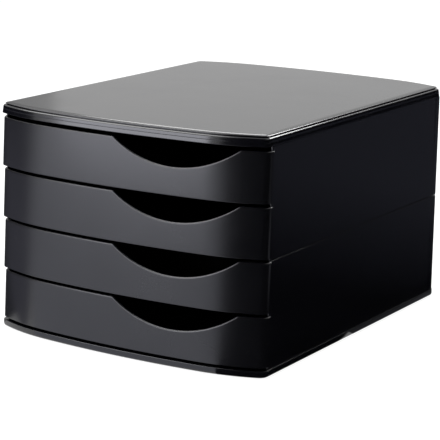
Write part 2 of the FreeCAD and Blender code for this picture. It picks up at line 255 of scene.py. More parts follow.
def addBlock(bm, low, high, edge):  # block of a moulding, with its edges rounded
    size = [h - l for l, h in zip(low, high)]
    middle = Matrix.Translation([(l + h) / 2 for l, h in zip(low, high)])
    corners = bmesh.ops.create_cube(bm, size=1.0, matrix=middle @ Matrix.Diagonal((*size, 1.0)))["verts"]
    edges = {e for corner in corners for e in corner.link_edges}
    bmesh.ops.bevel(bm, geom=list(edges), offset=edge, segments=2, affect="EDGES", profile=0.5)


def rawMesh(name, bm):
    mesh = bpy.data.meshes.new(name)
    bm.to_mesh(mesh)
    bm.free()
    return mesh


def addPiece(name, mesh, material, body=None, stands=(), sharpAngle=38.0):
    bm = bmesh.new()
    bm.from_mesh(mesh)
    bmesh.ops.recalc_face_normals(bm, faces=bm.faces)
    bm.to_mesh(mesh)
    bm.free()
    mesh.shade_smooth()
    mesh.set_sharp_from_angle(angle=math.radians(sharpAngle))
    mesh.materials.clear()
    mesh.materials.append(material)
    piece = bpy.data.objects.new(name, mesh)
    scene.collection.objects.link(piece)
    flats = piece.modifiers.new("evenFlats", "WEIGHTED_NORMAL")  # large flats stay even beside roundings
    flats.keep_sharp = True
    piece.data = bpy.data.meshes.new_from_object(piece.evaluated_get(bpy.context.evaluated_depsgraph_get()))
    piece.modifiers.clear()
    piece.data.name = name
    if body:
        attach(piece, body)
    if stands:
        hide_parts(*stands)
    return piece


def grownMesh(name, mesh, tree, values):  # mesh that a Geometry Nodes tree makes from `mesh`
    carrier = bpy.data.objects.new(name, mesh)
    scene.collection.objects.link(carrier)
    modifier = carrier.modifiers.new(name, "NODES")
    modifier.node_group = tree
    for item in tree.interface.items_tree:
        if item.in_out == "INPUT" and item.name in values:
            modifier[item.identifier] = values[item.name]
    result = bpy.data.meshes.new_from_object(carrier.evaluated_get(bpy.context.evaluated_depsgraph_get()))
    bpy.data.objects.remove(carrier)
    return result


def newTree(name, sockets):  # Geometry Nodes tree with named inputs
    tree = bpy.data.node_groups.new(name, "GeometryNodeTree")
    tree.interface.new_socket("Geometry", in_out="INPUT", socket_type="NodeSocketGeometry")
    for socket, kind in sockets.items():
        tree.interface.new_socket(socket, in_out="INPUT", socket_type="NodeSocket" + kind)
    tree.interface.new_socket("Geometry", in_out="OUTPUT", socket_type="NodeSocketGeometry")
    return tree, addNode(tree, "NodeGroupInput").outputs


# Repeats a small piece along X, Y and Z, and over to the other side where it is mirrored
def repeatTree():
    sockets = {"Count X": "Int", "Count Y": "Int", "Count Z": "Int", "Spacing X": "Float",
               "Spacing Y": "Float", "Spacing Z": "Float", "Mirrored": "Bool", "Plastic": "Material"}
    tree, given = newTree("repeatMoulding", sockets)
    shape = given["Geometry"]
    for axis in "XYZ":
        offset = addNode(tree, "ShaderNodeCombineXYZ", {axis: given["Spacing " + axis]})
        places = addNode(tree, "GeometryNodeMeshLine", {"Count": given["Count " + axis],
                                                        "Offset": offset.outputs[0]})
        shape = addNode(tree, "GeometryNodeInstanceOnPoints",
                        {"Points": places.outputs[0], "Instance": shape}).outputs[0]
    other = addNode(tree, "GeometryNodeTransform", {"Geometry": shape, "Scale": (-1.0, 1.0, 1.0)})
    pair = addNode(tree, "GeometryNodeJoinGeometry", {0: shape})
    tree.links.new(other.outputs[0], pair.inputs[0])
    chosen = addNode(tree, "GeometryNodeSwitch", {"Switch": given["Mirrored"], "False": shape,
                                                  "True": pair.outputs[0]}, input_type="GEOMETRY")
    solid = addNode(tree, "GeometryNodeRealizeInstances", {0: chosen.outputs[0]})
    coated = addNode(tree, "GeometryNodeSetMaterial", {"Geometry": solid.outputs[0],
                                                       "Material": given["Plastic"]})
    addNode(tree, "NodeGroupOutput", {0: coated.outputs[0]})
    return tree


repeatMoulding = repeatTree()

# The lid: one shell swept round the plan, with a rim band, a parting line, a shadow groove and a cap
lid = {
    "rimFoot": 0.8 * mm,       # inset of the rim band at its foot
    "rimTop": 1.8 * mm,        # and at its top
    "rimHeight": 7.7 * mm,
    "rimEdge": 2.2 * mm,
    "footEdge": 0.5 * mm,
    "partingHeight": 3.9 * mm,
    "partingDepth": 0.09 * mm,
    "partingWidth": 0.7 * mm,
    "grooveHeight": 1.0 * mm,
    "grooveInset": 5.0 * mm,
    "capInset": 3.6 * mm,
    "capCrown": 6.5 * mm,      # width of the soft edge that falls away from the flat top
    "skirt": 3.4 * mm,
    "wall": 2.4 * mm,
    "ribThickness": 1.6 * mm,
    "ribHeight": 3.0 * mm,
    "ribRoot": 0.5 * mm,       # how far a rib reaches into the wall that carries it
    "ribEdge": 0.3 * mm,
    "ribPlaces": (27.76 * mm, 83.28 * mm),
    "crownSteps": 14,
}


def lidProfile(s):  # (inset, height) from the ceiling inside, down the skirt, and up outside to the top
    low, high = lidLow.z, lidHigh.z
    rimTop = low + s["rimHeight"]
    capFoot = rimTop + s["grooveHeight"]
    lean = (s["rimTop"] - s["rimFoot"]) / s["rimHeight"]
    hollow = s["grooveInset"] + s["wall"]
    foot, edge, parting = s["footEdge"], s["rimEdge"], s["partingHeight"]
    outer = {h: s["rimFoot"] + lean * h for h in (foot, parting - s["partingWidth"], parting,
                                                  s["rimHeight"] - edge)}
    profile = [(hollow, high - s["wall"]), (hollow, rimTop - s["wall"]), (s["skirt"], rimTop - s["wall"]),
               (s["skirt"], low)]
    profile += arcPoints((outer[foot] + foot, low + foot), foot, 270, 180, 3)
    profile += [(outer[parting - s["partingWidth"]], low + parting - s["partingWidth"]),
                (outer[parting] + s["partingDepth"], low + parting - s["partingWidth"] / 2),
                (outer[parting], low + parting)]
    profile += arcPoints((outer[s["rimHeight"] - edge] + edge, rimTop - edge), edge, 180, 90, 8)
    profile += [(s["grooveInset"], rimTop), (s["grooveInset"], capFoot), (s["capInset"], capFoot)]
    profile += [(s["capInset"] + s["capCrown"] * (1 - math.cos(t)),
                 capFoot + (high - capFoot) * math.sin(t))
                for t in steps(0.0, math.pi / 2, s["crownSteps"])[1:]]
    return profile


def sweptMesh(name, profile):
    bm = bmesh.new()
    addShell(bm, [planRing(inset, z) for inset, z in profile])
    return rawMesh(name, bm)


def ribMesh(s, top, inset):  # the two ribs right of the middle, from skirt to skirt
    bm = bmesh.new()
    half = s["ribThickness"] / 2
    for x in s["ribPlaces"]:
        reach = halfChord + bowRise(x + half, inset)
        addBlock(bm, (x - half, -reach, top - s["ribHeight"]), (x + half, reach, top + s["ribRoot"]),
                 s["ribEdge"])
    return rawMesh("ribs", bm)


once = {"Count X": 1, "Count Y": 1, "Count Z": 1}
addPiece("lid_shell", sweptMesh("lid_shell", lidProfile(lid)), gloss, "casing", ["lid"])
ribs = ribMesh(lid, lidHigh.z - lid["wall"], lid["grooveInset"] + lid["wall"] / 2)
ribs = grownMesh("lid_ribs", ribs, repeatMoulding, dict(once, Mirrored=True, Plastic=gloss))
addPiece("lid_ribs", ribs, gloss, "casing")
print("stage: lid made")

# The base: a thin tray upside down, with a rounded foot edge, a skirt and the same ribs
base = {
    "foot": 0.7 * mm,          # height of the skirt's foot over the desk
    "footEdge": 2.0 * mm,
    "topEdge": 0.3 * mm,
    "skirt": 3.4 * mm,
    "deck": 2.5 * mm,
    "ribThickness": 1.6 * mm,
    "ribHeight": 3.0 * mm,
    "ribRoot": 0.5 * mm,
    "ribEdge": 0.3 * mm,
    "ribPlaces": lid["ribPlaces"],
}
deckBottom = deckTop - base["deck"]


def baseProfile(s):  # (inset, height) from the deck's underside, down the skirt, and up outside
    foot, edge = s["footEdge"], s["topEdge"]
    profile = [(s["skirt"], deckBottom), (s["skirt"], s["foot"])]
    profile += arcPoints((foot, s["foot"] + foot), foot, 270, 180, 7)
    profile += arcPoints((edge, deckTop - edge), edge, 180, 90, 3)
    return profile


addPiece("base_shell", sweptMesh("base_shell", baseProfile(base)), gloss, "casing",
         ["base"])
ribs = ribMesh(base, deckBottom, base["skirt"] / 2)
ribs = grownMesh("base_ribs", ribs, repeatMoulding, dict(once, Mirrored=True, Plastic=gloss))
addPiece("base_ribs", ribs, gloss, "casing")
print("stage: base made")

# Side walls: a plate with a border round a slightly sunk field, rounded where two storeys meet
wall = {
    "thickness": 2.4 * mm,
    "edge": 0.8 * mm,
    "frontBorder": 32.0 * mm,
    "backBorder": 8.0 * mm,
    "fieldDepth": 0.4 * mm,
    "fieldStep": 0.5 * mm,
    "seamEdge": 0.3 * mm,
    "seamGap": 0.8 * mm,
    "seamSteps": 4,
}


def wallOutline(s, inset):  # (x, y) anticlockwise from above, right wall
    inner, outer = wallHigh.x - s["thickness"], wallHigh.x - inset
    front, back, edge = wallLow.y + inset, wallHigh.y - inset, s["edge"]
    field = outer - s["fieldDepth"]
    fieldFront, fieldBack = wallLow.y + s["frontBorder"], wallHigh.y - s["backBorder"]
    outline = arcPoints((inner + edge, front + edge), edge, 180, 270, 4)
    outline += arcPoints((outer - edge, front + edge), edge, 270, 360, 4)
    outline += [(outer, fieldFront - s["fieldStep"]), (field, fieldFront), (field, fieldBack),
                (outer, fieldBack + s["fieldStep"])]
    outline += arcPoints((outer - edge, back - edge), edge, 0, 90, 4)
    outline += arcPoints((inner + edge, back - edge), edge, 90, 180, 4)
    return outline


def storeyLevels(s, low, high):  # (inset, height) from foot to top, rounded at both ends
    edge = s["seamEdge"]
    rounding = arcPoints((edge, edge), edge, 270, 180, s["seamSteps"])
    return [(i, low + z) for i, z in rounding] + [(i, high - z) for i, z in reversed(rounding)]


def wallMesh(s, low, high, side):
    bm = bmesh.new()
    addShell(bm, [[(side * x, y, z) for x, y in wallOutline(s, inset)]
                  for inset, z in storeyLevels(s, low, high)])
    return rawMesh("wall", bm)


# Back walls: a band that follows the back's bow, with a flange beside each side wall
backWall = {
    "inset": 2.0 * mm,
    "thickness": 2.2 * mm,
    "flange": 2.0 * mm,
    "flangeLength": 10.0 * mm,
    "sideGap": 2.6 * mm,       # from the side wall's outer face to the end of the band
    "columns": 48,
}


def backOutline(s, inset):
    half = wallHigh.x - s["sideGap"]
    inner = s["inset"] + s["thickness"]
    corner = halfChord + bowRise(half, inner)
    outside = [(x, halfChord + bowRise(x, s["inset"] + inset)) for x in steps(half, -half, s["columns"])]
    innerHalf = half - s["flange"]
    inside = [(x, halfChord + bowRise(x, inner)) for x in steps(-innerHalf, innerHalf, s["columns"])]
    left = [(-half, corner - s["flangeLength"]), (-innerHalf, corner - s["flangeLength"])]
    right = [(innerHalf, corner - s["flangeLength"]), (half, corner - s["flangeLength"])]
    return outside + left + inside + right


def backMesh(s, low, high):
    bm = bmesh.new()
    addShell(bm, [[(x, y, z) for x, y in backOutline(s, inset)]
                  for inset, z in storeyLevels(wall, low, high)])
    return rawMesh("backWall", bm)


storeys = {"lower": (deckTop, seam - wall["seamGap"]), "upper": (seam, lidLow.z)}
for storey, (low, high) in storeys.items():
    for side, sign in (("right", 1), ("left", -1)):
        node = "%s_%s_side" % (storey, side)
        addPiece(node + "_plate", wallMesh(wall, low, high, sign), gloss, "casing",
                 [node])
    node = storey + "_back"
    addPiece(node + "_band", backMesh(backWall, low, high), gloss, "casing", [node])

# Runners: two rails and a stop block for each drawer, on both walls
runner = {
    "reach": 4.5 * mm,
    "front": 8.4 * mm,         # behind the wall's front edge
    "root": 1.0 * mm,          # how far a rail reaches into its wall
    "lower": (33.0 * mm, 36.0 * mm),
    "upper": (42.1 * mm, 44.3 * mm),
    "stopLength": 6.0 * mm,
    "stopFoot": 39.6 * mm,
    "edge": 0.4 * mm,
}


def runnerMesh(s, foot):
    bm = bmesh.new()
    outer = wallHigh.x - wall["thickness"]
    inner, front = outer - s["reach"], wallLow.y + s["front"]
    for low, high in (s["lower"], s["upper"]):
        addBlock(bm, (inner, front, foot + low), (outer + s["root"], trayBack, foot + high), s["edge"])
    stopTop = foot + s["upper"][0] + s["edge"]
    addBlock(bm, (inner, front, foot + s["stopFoot"]),
             (outer + s["root"], front + s["stopLength"], stopTop), s["edge"])
    return rawMesh("runner", bm)


runners = grownMesh("runners", runnerMesh(runner, min(frontFeet.values())), repeatMoulding,
                    dict(once, **{"Count Z": len(drawerBodies), "Spacing Z": drawerPitch,
                                  "Mirrored": True, "Plastic": gloss}))
addPiece("runners", runners, gloss, "casing")

# Tongues that lap inside the moulding above them, on the side walls and on the back
tongue = {"length": 22.0 * mm, "thickness": 2.0 * mm, "rise": 4.0 * mm, "root": 2.2 * mm, "edge": 0.4 * mm,
          "spacing": 110.0 * mm, "perSide": 3, "backPlace": 70.0 * mm, "slack": 0.2 * mm}


def tongueMesh(s, z):
    bm = bmesh.new()
    outer = wallHigh.x - wall["thickness"] - s["slack"]
    first = -s["spacing"] * (s["perSide"] - 1) / 2
    addBlock(bm, (outer - s["thickness"], first - s["length"] / 2, z - s["root"]),
             (outer, first + s["length"] / 2, z + s["rise"]), s["edge"])
    return rawMesh("tongue", bm)


def backTongueMesh(s, z):
    bm = bmesh.new()
    half = s["length"] / 2
    addBlock(bm, (-half, -s["thickness"], z - s["root"]), (half, 0.0, z + s["rise"]), s["edge"])
    inset = backWall["inset"] + backWall["thickness"] + s["slack"]
    turn = Matrix.Rotation(-turnAt(s["backPlace"], inset), 4, "Z")
    place = Matrix.Translation((s["backPlace"], halfChord + bowRise(s["backPlace"], inset), 0.0))
    bmesh.ops.transform(bm, matrix=place @ turn, verts=bm.verts)
    return rawMesh("backTongue", bm)


for name, z in (("base", deckTop), ("lower", seam), ("upper", lidLow.z)):
    rows = dict(once, **{"Count Y": tongue["perSide"], "Spacing Y": tongue["spacing"]})
    addPiece(name + "_side_tongues", grownMesh("sideTongues", tongueMesh(tongue, z), repeatMoulding,
                                               dict(rows, Mirrored=True, Plastic=gloss)),
             gloss, "casing")
    addPiece(name + "_back_tongues", grownMesh("backTongues", backTongueMesh(tongue, z), repeatMoulding,
                                               dict(once, Mirrored=True, Plastic=gloss)),
             gloss, "casing")
print("stage: walls, runners and tongues made")

# Feet: turned rubber discs with a stem, on a 2 by 2 grid
foot = {"radius": 8.0 * mm, "height": 1.8 * mm, "edge": 0.5 * mm, "stemRadius": 3.0 * mm,
        "stemTop": 3.8 * mm, "dish": 0.25 * mm, "dishShare": 0.55, "treadShare": 0.72, "sides": 40}


def footMesh(s, x, y):
    radii = [(s["radius"] * s["dishShare"], s["dish"]), (s["radius"] * s["treadShare"], 0.0)]
    radii += arcPoints((s["radius"] - s["edge"], s["edge"]), s["edge"], 270, 360, 4)
    radii += arcPoints((s["radius"] - s["edge"], s["height"] - s["edge"]), s["edge"], 0, 90, 4)
    radii += [(s["stemRadius"], s["height"]), (s["stemRadius"], s["stemTop"])]
    turns = [2 * math.pi * i / s["sides"] for i in range(s["sides"])]
    bm = bmesh.new()
    addShell(bm, [[(x + r * math.cos(t), y + r * math.sin(t), z) for t in turns] for r, z in radii])
    return rawMesh("foot", bm)


footNodes = ["front_left_foot", "front_right_foot", "back_left_foot", "back_right_foot"]
footLow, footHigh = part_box(footNodes[0])
footX, footY = (footLow.x + footHigh.x) / 2, (footLow.y + footHigh.y) / 2
feet = grownMesh("feet", footMesh(foot, footX, footY), repeatMoulding,
                 {"Count X": 2, "Count Y": 2, "Count Z": 1, "Spacing X": -2 * footX,
                  "Spacing Y": -2 * footY, "Mirrored": False, "Plastic": footRubber})
addPiece("rubber_feet", feet, footRubber, "casing", footNodes)
print("stage: feet made")

# A drawer front: a thin wall bent round the bow and both corners, leaning back, with a finger scoop.
# It is drawn flat first: x is how far the wall has turned, y the depth behind its skin, z the height.
front = {
    "sideInset": 0.5 * mm,
    "footInset": 0.8 * mm,
    "lean": 2.4 * mm,
    "wall": 2.4 * mm,
    "cornerRadius": 9.0 * mm,
    "topEdge": 1.5 * mm,
    "footEdge": 0.8 * mm,
    "floorBottom": 0.2 * mm,
    "floorTop": 2.0 * mm,
    "scoopCentre": 56.5 * mm,
    "scoopHalfWidth": 61.5 * mm,
    "scoopDepth": 20.0 * mm,
    "shoulder": 3.0 * mm,
    "rows": 3,
    "leftColumns": 26,         # between the left corner and the scoop
    "rightColumns": 5,
    "scoopColumns": 22,        # on each half of the scoop
    "shoulderColumns": 6,
    "cornerColumns": 10,
    "hookPlaces": (-100.0 * mm, 0.0, 100.0 * mm),
    "hookHalf": 6.0 * mm,
    "hookBridge": (13.2 * mm, 15.2 * mm),
    "hookDrop": 10.0 * mm,
    "hookEdge": 0.4 * mm,
    "hookDepths": (1.2 * mm, 4.7 * mm, 6.7 * mm),
}


def bendTree():  # bends the flat drawing round the bow
    sockets = ["Middle Radius", "Middle Centre", "End Radius", "End X", "End Y", "Bow Turn", "Half Chord",
               "Half Span", "Corner Radius", "Foot Inset", "Lean", "Height", "Flat Back", "Foot Level"]
    tree, given = newTree("bendRoundBow", dict({name: "Float" for name in sockets}, Plastic="Material"))
    flatPlace = addNode(tree, "GeometryNodeInputPosition").outputs[0]
    flat = addNode(tree, "ShaderNodeSeparateXYZ", {0: flatPlace})
    known = {name: given[name] for name in sockets}
    known.update(x=flat.outputs[0], depth=flat.outputs[1], z=flat.outputs[2])
    rules = [
        ("side", "SIGN", "x"),
        ("wholeTurn", "ABSOLUTE", "x"),
        ("turn", "MINIMUM", "wholeTurn", math.pi / 2),
        ("run", "SUBTRACT", "wholeTurn", "turn"),             # share of the straight run along the side
        ("leanShare", "DIVIDE", "Lean", "Height"),
        ("inset", "MULTIPLY_ADD", "z", "leanShare", "Foot Inset"),
        ("behind", "ADD", "inset", "depth"),
        ("cornerX", "SUBTRACT", "Half Span", "Corner Radius"),
        ("cornerStep", "SUBTRACT", "cornerX", "End X"),
        ("reach0", "SUBTRACT", "End Radius", "Corner Radius"),
        ("reach", "SUBTRACT", "reach0", "inset"),
        ("reachSquare", "POWER", "reach", 2.0),
        ("stepSquare", "POWER", "cornerStep", 2.0),
        ("riseSquare", "SUBTRACT", "reachSquare", "stepSquare"),
        ("cornerRise", "SQRT", "riseSquare"),
        ("contact", "ARCTAN2", "cornerStep", "cornerRise"),
        ("inEnd", "GREATER_THAN", "turn", "Bow Turn"),
        ("inCorner", "GREATER_THAN", "turn", "contact"),
        ("centreStep", "MULTIPLY", "inCorner", "cornerStep"),
        ("centreX", "MULTIPLY_ADD", "inEnd", "End X", "centreStep"),
        ("endDrop", "SUBTRACT", "End Y", "Middle Centre"),
        ("centreY0", "MULTIPLY_ADD", "inEnd", "endDrop", "Middle Centre"),
        ("centreY", "MULTIPLY_ADD", "inCorner", "cornerRise", "centreY0"),
        ("radiusDrop", "SUBTRACT", "End Radius", "Middle Radius"),
        ("radius0", "MULTIPLY_ADD", "inEnd", "radiusDrop", "Middle Radius"),
        ("radius1", "SUBTRACT", "radius0", "behind"),
        ("cornerDrop", "MULTIPLY_ADD", "reach", -1.0, 0.0),
        ("radius", "MULTIPLY_ADD", "inCorner", "cornerDrop", "radius1"),
        ("sine", "SINE", "turn"),
        ("cosine", "COSINE", "turn"),
        ("across", "MULTIPLY_ADD", "radius", "sine", "centreX"),
        ("newX", "MULTIPLY", "across", "side"),
        ("outwards", "MULTIPLY_ADD", "radius", "cosine", "centreY"),
        ("fromChord", "ADD", "outwards", "Half Chord"),
        ("frontY", "MULTIPLY", "fromChord", -1.0),
        ("toBack", "SUBTRACT", "Flat Back", "frontY"),
        ("newY", "MULTIPLY_ADD", "run", "toBack", "frontY"),
        ("newZ", "ADD", "z", "Foot Level"),
    ]
    for name, operation, *parts in rules:
        inputs = {i: known.get(part, part) for i, part in enumerate(parts)}
        known[name] = addNode(tree, "ShaderNodeMath", inputs, operation=operation, label=name).outputs[0]
    place = addNode(tree, "ShaderNodeCombineXYZ", {0: known["newX"], 1: known["newY"], 2: known["newZ"]})
    bent = addNode(tree, "GeometryNodeSetPosition", {"Geometry": given["Geometry"],
                                                     "Position": place.outputs[0]})
    solid = addNode(tree, "GeometryNodeRealizeInstances", {0: bent.outputs[0]})
    coated = addNode(tree, "GeometryNodeSetMaterial", {"Geometry": solid.outputs[0],
                                                       "Material": given["Plastic"]})
    addNode(tree, "NodeGroupOutput", {0: coated.outputs[0]})
    return tree


def scoopCurve(s):  # (x, drop) along the finger scoop, from its left shoulder to its right one
    radius = (s["scoopHalfWidth"] ** 2 + s["scoopDepth"] ** 2) / (2 * s["scoopDepth"])
    centre = radius - s["scoopDepth"]     # height of the arc's centre over the top edge
    reach = math.sqrt((radius + s["shoulder"]) ** 2 - (centre + s["shoulder"]) ** 2)
    turn = math.atan2(reach, centre + s["shoulder"])
    half = [(radius * math.sin(t), radius * math.cos(t) - centre)
            for t in steps(0.0, turn, s["scoopColumns"])]
    half += [(reach - s["shoulder"] * math.sin(t), s["shoulder"] * (1 - math.cos(t)))
             for t in steps(turn, 0.0, s["shoulderColumns"])[1:]]
    return [(-x, drop) for x, drop in reversed(half[1:])] + half


def frontColumns(s):  # (turn, drop of the top edge) from the left end to the right end
    inset = s["footInset"] + s["lean"]
    cornerStep = halfWidth - s["sideInset"] - s["cornerRadius"] - endX
    reach = plan["endRadius"] - inset - s["cornerRadius"]
    contact = math.asin(cornerStep / reach)
    edgeX = endX + (plan["endRadius"] - inset) * math.sin(contact)
    scoop = [(s["scoopCentre"] + x, drop) for x, drop in scoopCurve(s)]
    left = [(x, 0.0) for x in steps(-edgeX, scoop[0][0], s["leftColumns"])[1:-1]]
    right = [(x, 0.0) for x in steps(scoop[-1][0], edgeX, s["rightColumns"])[1:-1]]
    bow = [(turnAt(x, inset), drop) for x, drop in left + scoop + right]
    straight = [math.pi / 2 + 0.5, math.pi / 2 + 1.0]  # past the quarter turn: shares of the side's run
    corner = [(t, 0.0) for t in steps(contact, math.pi / 2, s["cornerColumns"]) + straight]
    return [(-t, drop) for t, drop in reversed(corner)] + bow + corner


def frontSection(s, top):  # (depth, height) round the wall: foot, skin, top edge, inner face
    footEdge, edge, depth = s["footEdge"], s["topEdge"], s["wall"]
    section = arcPoints((footEdge, footEdge), footEdge, 270, 180, 4)
    section += [(0.0, z) for z in steps(footEdge, top - edge, s["rows"])[1:-1]]
    section += arcPoints((edge, top - edge), edge, 180, 90, 7)
    section += arcPoints((depth - edge / 2, top - edge / 2), edge / 2, 90, 0, 3)
    return section + [(depth, s["floorTop"]), (depth, 0.0)]


def flatFront(s):
    columns = frontColumns(s)
    bm = bmesh.new()
    addShell(bm, [[(turn, depth, z) for depth, z in frontSection(s, frontHeight - drop)]
                  for turn, drop in columns])
    addShell(bm, [[(turn, s["wall"] / 2, z) for turn, drop in columns]
                  for z in (s["floorBottom"], s["floorTop"])])
    start = len(bm.verts)
    outer, gap, inner = s["hookDepths"]
    for x in s["hookPlaces"]:  # hooks that reach over the tray's lip and drop behind it
        left, right = x - s["hookHalf"], x + s["hookHalf"]
        low, high = s["hookBridge"]
        addBlock(bm, (left, outer, low), (right, inner, high), s["hookEdge"])
        addBlock(bm, (left, gap, s["hookDrop"]), (right, inner, high), s["hookEdge"])
    bm.verts.ensure_lookup_table()
    for vert in bm.verts[start:]:
        vert.co.x = turnAt(vert.co.x, s["footInset"])
    return rawMesh("flatFront", bm)


bendRoundBow = bendTree()
bowValues = {"Middle Radius": middleRadius, "Middle Centre": middleCentre, "End Radius": plan["endRadius"],
             "End X": endX, "End Y": endY, "Bow Turn": plan["turn"], "Half Chord": halfChord,
             "Half Span": halfWidth - front["sideInset"], "Corner Radius": front["cornerRadius"],
             "Foot Inset": front["footInset"], "Lean": front["lean"], "Height": frontHeight,
             "Flat Back": flatBack, "Plastic": satin}
for body in drawerBodies:
    values = dict(bowValues, **{"Foot Level": frontFeet[body]})
    bent = grownMesh(body, flatFront(front), bendRoundBow, values)
    addPiece(body + "_panel", bent, satin, body, [body + "_front"])
print("stage: drawer fronts made")

# A drawer tray: an open box behind the front, low where the front hooks on, with a rim on each side
tray = {
    "halfWidth": 133.5 * mm,
    "wall": 1.8 * mm,
    "floorBottom": 2.0 * mm,
    "floorTop": 4.0 * mm,
    "lipTop": 13.0 * mm,
    "rimTop": 39.3 * mm,
    "frontInset": 2.7 * mm,
    "edge": 0.4 * mm,
    "footRound": 0.8 * mm,
    "outerCorner": 1.0 * mm,
    "innerCorner": 4.0 * mm,
    "lipShare": 0.965,         # of the half width, where the front wall is low
    "sideShare": 0.985,        # and where it has risen to the rim
    "lipColumns": 44,
    "roundShare": 0.3,         # of a rounding's size, where its middle point lies from both faces
    "rimThickness": 3.0 * mm,
    "rimReach": 3.9 * mm,
    "lugHeight": 2.2 * mm,
    "lugLength": 10.0 * mm,
    "tail": 80.0 * mm,         # length of rim still held in the runner when the drawer is out
}


def trayRing(s, foot, offset, height, ofTop=False):  # ring at `offset` inside the outer skin
    half = s["halfWidth"] - offset
    radius = s["outerCorner"] + (s["innerCorner"] - s["outerCorner"]) * min(offset / s["wall"], 1.0)
    lip = steps(-s["lipShare"], s["lipShare"], s["lipColumns"])
    shares = [-1.0, -s["sideShare"]] + lip + [s["sideShare"], 1.0]
    ring = []
    for share in shares:
        top = s["lipTop"] if abs(share) <= s["lipShare"] else s["rimTop"]
        z = top + height if ofTop else height
        inset = front["footInset"] + front["lean"] * z / frontHeight + s["frontInset"] + offset
        ring.append((share * half, -halfChord - bowRise(share * half, inset), foot + z))
    z = foot + (s["rimTop"] + height if ofTop else height)
    back = trayBack - offset
    frontY = ring[-1][1]
    corner = arcPoints((half - radius, back - radius), radius, 0, 90, 6)
    right = [(half, frontY + (corner[0][1] - frontY) * share, z) for share in (0.25, 0.5, 0.75)]
    right += [(x, y, z) for x, y in corner]
    return ring + right + [(-x, y, z) for x, y, z in reversed(right)]


def trayMesh(s, foot):
    bm = bmesh.new()
    edge, floorRound = s["edge"], s["footRound"]
    edgeMiddle, floorMiddle = edge * s["roundShare"], floorRound * s["roundShare"]
    rings = [trayRing(s, foot, floorRound, s["floorBottom"]),
             trayRing(s, foot, floorMiddle, s["floorBottom"] + floorMiddle),
             trayRing(s, foot, 0.0, s["floorBottom"] + floorRound)]
    rings += [trayRing(s, foot, offset, height, ofTop=True)
              for offset, height in ((0.0, -edge), (edgeMiddle, -edgeMiddle), (edge, 0.0),
                                     (s["wall"] - edge, 0.0), (s["wall"] - edgeMiddle, -edgeMiddle),
                                     (s["wall"], -edge))]
    rings += [trayRing(s, foot, s["wall"], s["floorTop"] + floorRound),
              trayRing(s, foot, s["wall"] + floorMiddle, s["floorTop"] + floorMiddle),
              trayRing(s, foot, s["wall"] + floorRound, s["floorTop"])]
    addShell(bm, rings)
    rimFront = wallLow.y + runner["front"]
    top = foot + s["rimTop"]
    stopPlace = trayBack - s["tail"]
    inner = s["halfWidth"] - s["wall"]
    for side in (-1, 1):
        x = sorted((side * inner, side * (s["halfWidth"] + s["rimReach"])))
        addBlock(bm, (x[0], rimFront, top - s["rimThickness"]), (x[1], trayBack, top), edge)
        for y in (stopPlace, trayBack - s["lugLength"]):
            addBlock(bm, (x[0], y, top - edge), (x[1], y + s["lugLength"], top + s["lugHeight"]), edge)
    return rawMesh("tray", bm)


for body in drawerBodies:
    addPiece(body + "_box", trayMesh(tray, frontFeet[body]), trayPlastic, body,
             [body + "_tray"])
print("stage: trays made")

# Each node of the frame takes the material of its slot
slotMaterials = {"casing_plastic": gloss, "front_plastic": satin, "tray_plastic": trayPlastic,
                 "foot_rubber": footRubber}
for row in frame["record"]["subparts"]:
    nodeMesh = frame["nodes"][row["node"]].data
    nodeMesh.materials.clear()
    nodeMesh.materials.append(slotMaterials[row["material_slot"]])

# The stage: a pale floor that looks white, and keeps the object's shadow
floor = {
    "halfSize": 8.0,
    "colour": "#ffffff",
    "lift": 0.86,              # glow that only direct looks and reflections see
    "paint": 0.3,              # share of the paint that they see
    "bouncePaint": 0.9,        # share of the paint that gives light back to the object
}


def seenDirectly(tree):  # 1 for camera, glossy and transmission rays, else 0
    path = addNode(tree, "ShaderNodeLightPath").outputs
    first = addNode(tree, "ShaderNodeMath", {0: path["Is Camera Ray"], 1: path["Is Glossy Ray"]},
                    operation="MAXIMUM")
    both = addNode(tree, "ShaderNodeMath", {0: first.outputs[0], 1: path["Is Transmission Ray"]},
                   operation="MAXIMUM")
    return both.outputs[0]


def paleFloor(s):
    material = bpy.data.materials.new("paintedFloor")
    material.use_nodes = True
    tree = material.node_tree
    tree.nodes.clear()
    seen = seenDirectly(tree)
    share = addNode(tree, "ShaderNodeMapRange",
                    {"Value": seen, "To Min": s["bouncePaint"], "To Max": s["paint"]})
    paint = addNode(tree, "ShaderNodeBsdfDiffuse",
                    {"Color": addNode(tree, "ShaderNodeMix", {0: share.outputs[0], 6: (0, 0, 0, 1),
                                                              7: linearColour(s["colour"])},
                                      data_type="RGBA").outputs[2]})
    lift = addNode(tree, "ShaderNodeMath", {0: seen, 1: s["lift"]}, operation="MULTIPLY")
    glow = addNode(tree, "ShaderNodeEmission", {"Color": (1, 1, 1, 1), "Strength": lift.outputs[0]})
    both = addNode(tree, "ShaderNodeAddShader", {0: paint.outputs[0], 1: glow.outputs[0]})
    addNode(tree, "ShaderNodeOutputMaterial", {"Surface": both.outputs[0]})
    return material


def addStage(name, corners, material):
    mesh = bpy.data.meshes.new(name)
    mesh.from_pydata(corners, [], [tuple(range(len(corners)))])
    mesh.materials.append(material)
    obj = bpy.data.objects.new(name, mesh)
    scene.collection.objects.link(obj)
    return obj


size = floor["halfSize"]
addStage("floor", [(-size, -size, 0), (size, -size, 0), (size, size, 0), (-size, size, 0)],
         paleFloor(floor))


